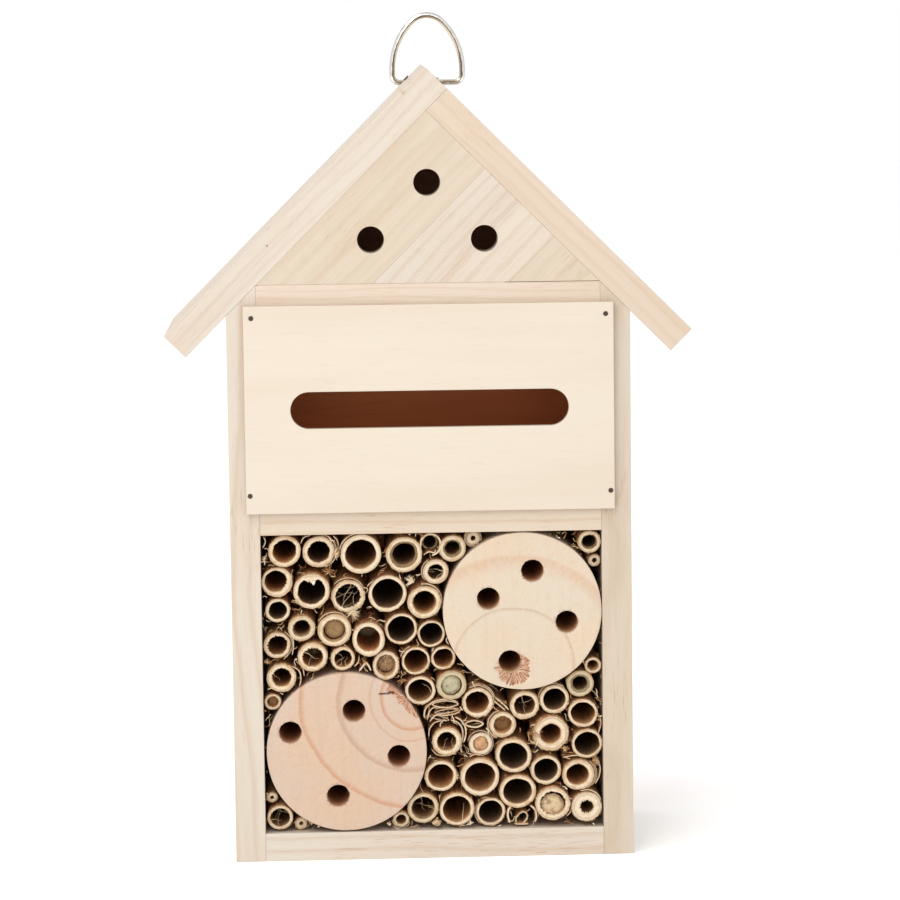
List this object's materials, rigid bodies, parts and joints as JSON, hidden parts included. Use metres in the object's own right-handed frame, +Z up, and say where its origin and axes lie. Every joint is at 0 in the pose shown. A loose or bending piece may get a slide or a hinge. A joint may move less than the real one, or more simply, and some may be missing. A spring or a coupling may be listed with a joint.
{
  "type": "insect hotel",
  "caption": "Small gabled wooden insect hotel with a slotted chamber panel, drilled log slices, packed hollow reeds and a swinging wire hanging ring.",
  "frame": {"origin": "middle of the piece's box, at the height of the flat underside that it stands on", "axes": "+Z up, -Y towards the front with the slot and the reed mouths, +X to the right seen from the front"},
  "size_m": [0.2, 0.087, 0.3234],
  "materials": {
    "pale_board": "planed, unfinished softwood-like paulownia",
    "gable_board": "planed, unfinished, edge glued",
    "plywood": "smooth unfinished plywood",
    "log_wood": "sawn end grain",
    "reed": "dry reed, ragged at the cut",
    "crushed_reed": "split dry reed",
    "nail_steel": "dull, slightly rusted",
    "ring_steel": "nickel-plated wire and strip"
  },
  "bodies": {
    "house": {"side_left": "pale_board", "side_right": "pale_board", "floor_board": "pale_board", "middle_shelf": "pale_board", "attic_floor": "pale_board", "roof_left": "pale_board", "roof_right": "pale_board", "gable_strip_1": "gable_board", "gable_strip_2": "gable_board", "gable_strip_3": "gable_board", "gable_strip_4": "gable_board", "gable_back": "pale_board", "back_panel": "plywood", "front_panel": "plywood", "panel_pins": "nail_steel", "board_nails": "nail_steel", "log_upper": "log_wood", "log_lower": "log_wood", "hanger_strap": "ring_steel", "hanger_screw": "ring_steel", "thin_reeds": "reed", "crushed_reeds": "crushed_reed", "reed_01": "reed", "reed_02": "reed", "reed_03": "reed", "reed_04": "reed", "reed_05": "reed", "reed_06": "reed", "reed_07": "reed", "reed_08": "reed", "reed_09": "reed", "reed_10": "reed", "reed_11": "reed", "reed_12": "reed", "reed_13": "reed", "reed_14": "reed", "reed_15": "reed", "reed_16": "reed", "reed_17": "reed", "reed_18": "reed", "reed_19": "reed", "reed_20": "reed", "reed_21": "reed", "reed_22": "reed", "reed_23": "reed", "reed_24": "reed", "reed_25": "reed", "reed_26": "reed", "reed_27": "reed", "reed_28": "reed", "reed_29": "reed", "reed_30": "reed", "reed_31": "reed", "reed_32": "reed", "reed_33": "reed", "reed_34": "reed", "reed_35": "reed", "reed_36": "reed"},
    "ring": {"hanging_ring": "ring_steel"}
  },
  "joints": [
    {"name": "ring_swing", "type": "hinge", "parent": "house", "child": "ring", "pos_m": [0.0028, 0.0415, 0.29562], "axis": [-1, 0, 0], "range_deg": [-70, 180]}
  ]
}
